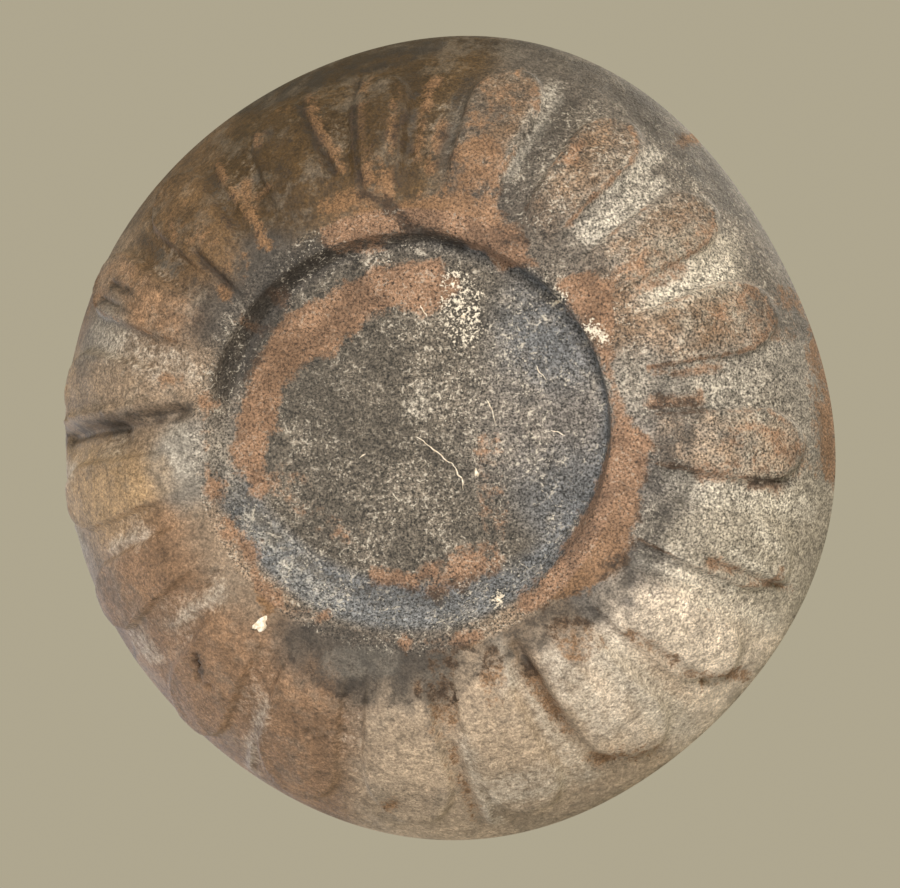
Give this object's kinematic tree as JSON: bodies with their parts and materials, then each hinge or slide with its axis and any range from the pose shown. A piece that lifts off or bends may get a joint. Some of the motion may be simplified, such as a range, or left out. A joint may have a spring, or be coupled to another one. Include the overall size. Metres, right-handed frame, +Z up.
{
  "type": "lagynos jug",
  "caption": "Squat round-bodied clay wine jug with raised tongues under the body, a recessed base, a tall narrow neck with a rolled lip and a strap handle.",
  "frame": {"origin": "middle of the jug's outline, on the plane that its resting ring stands on", "axes": "+Z up through the neck, -X towards the handle, -Y towards the top of the underside as pictured"},
  "size_m": [0.1584, 0.1613, 0.172],
  "materials": {
    "slipped_clay": "worn dark slip over fired brown clay, semi-matt"
  },
  "bodies": {
    "root": {"lagynos": "slipped_clay"}
  },
  "joints": []
}
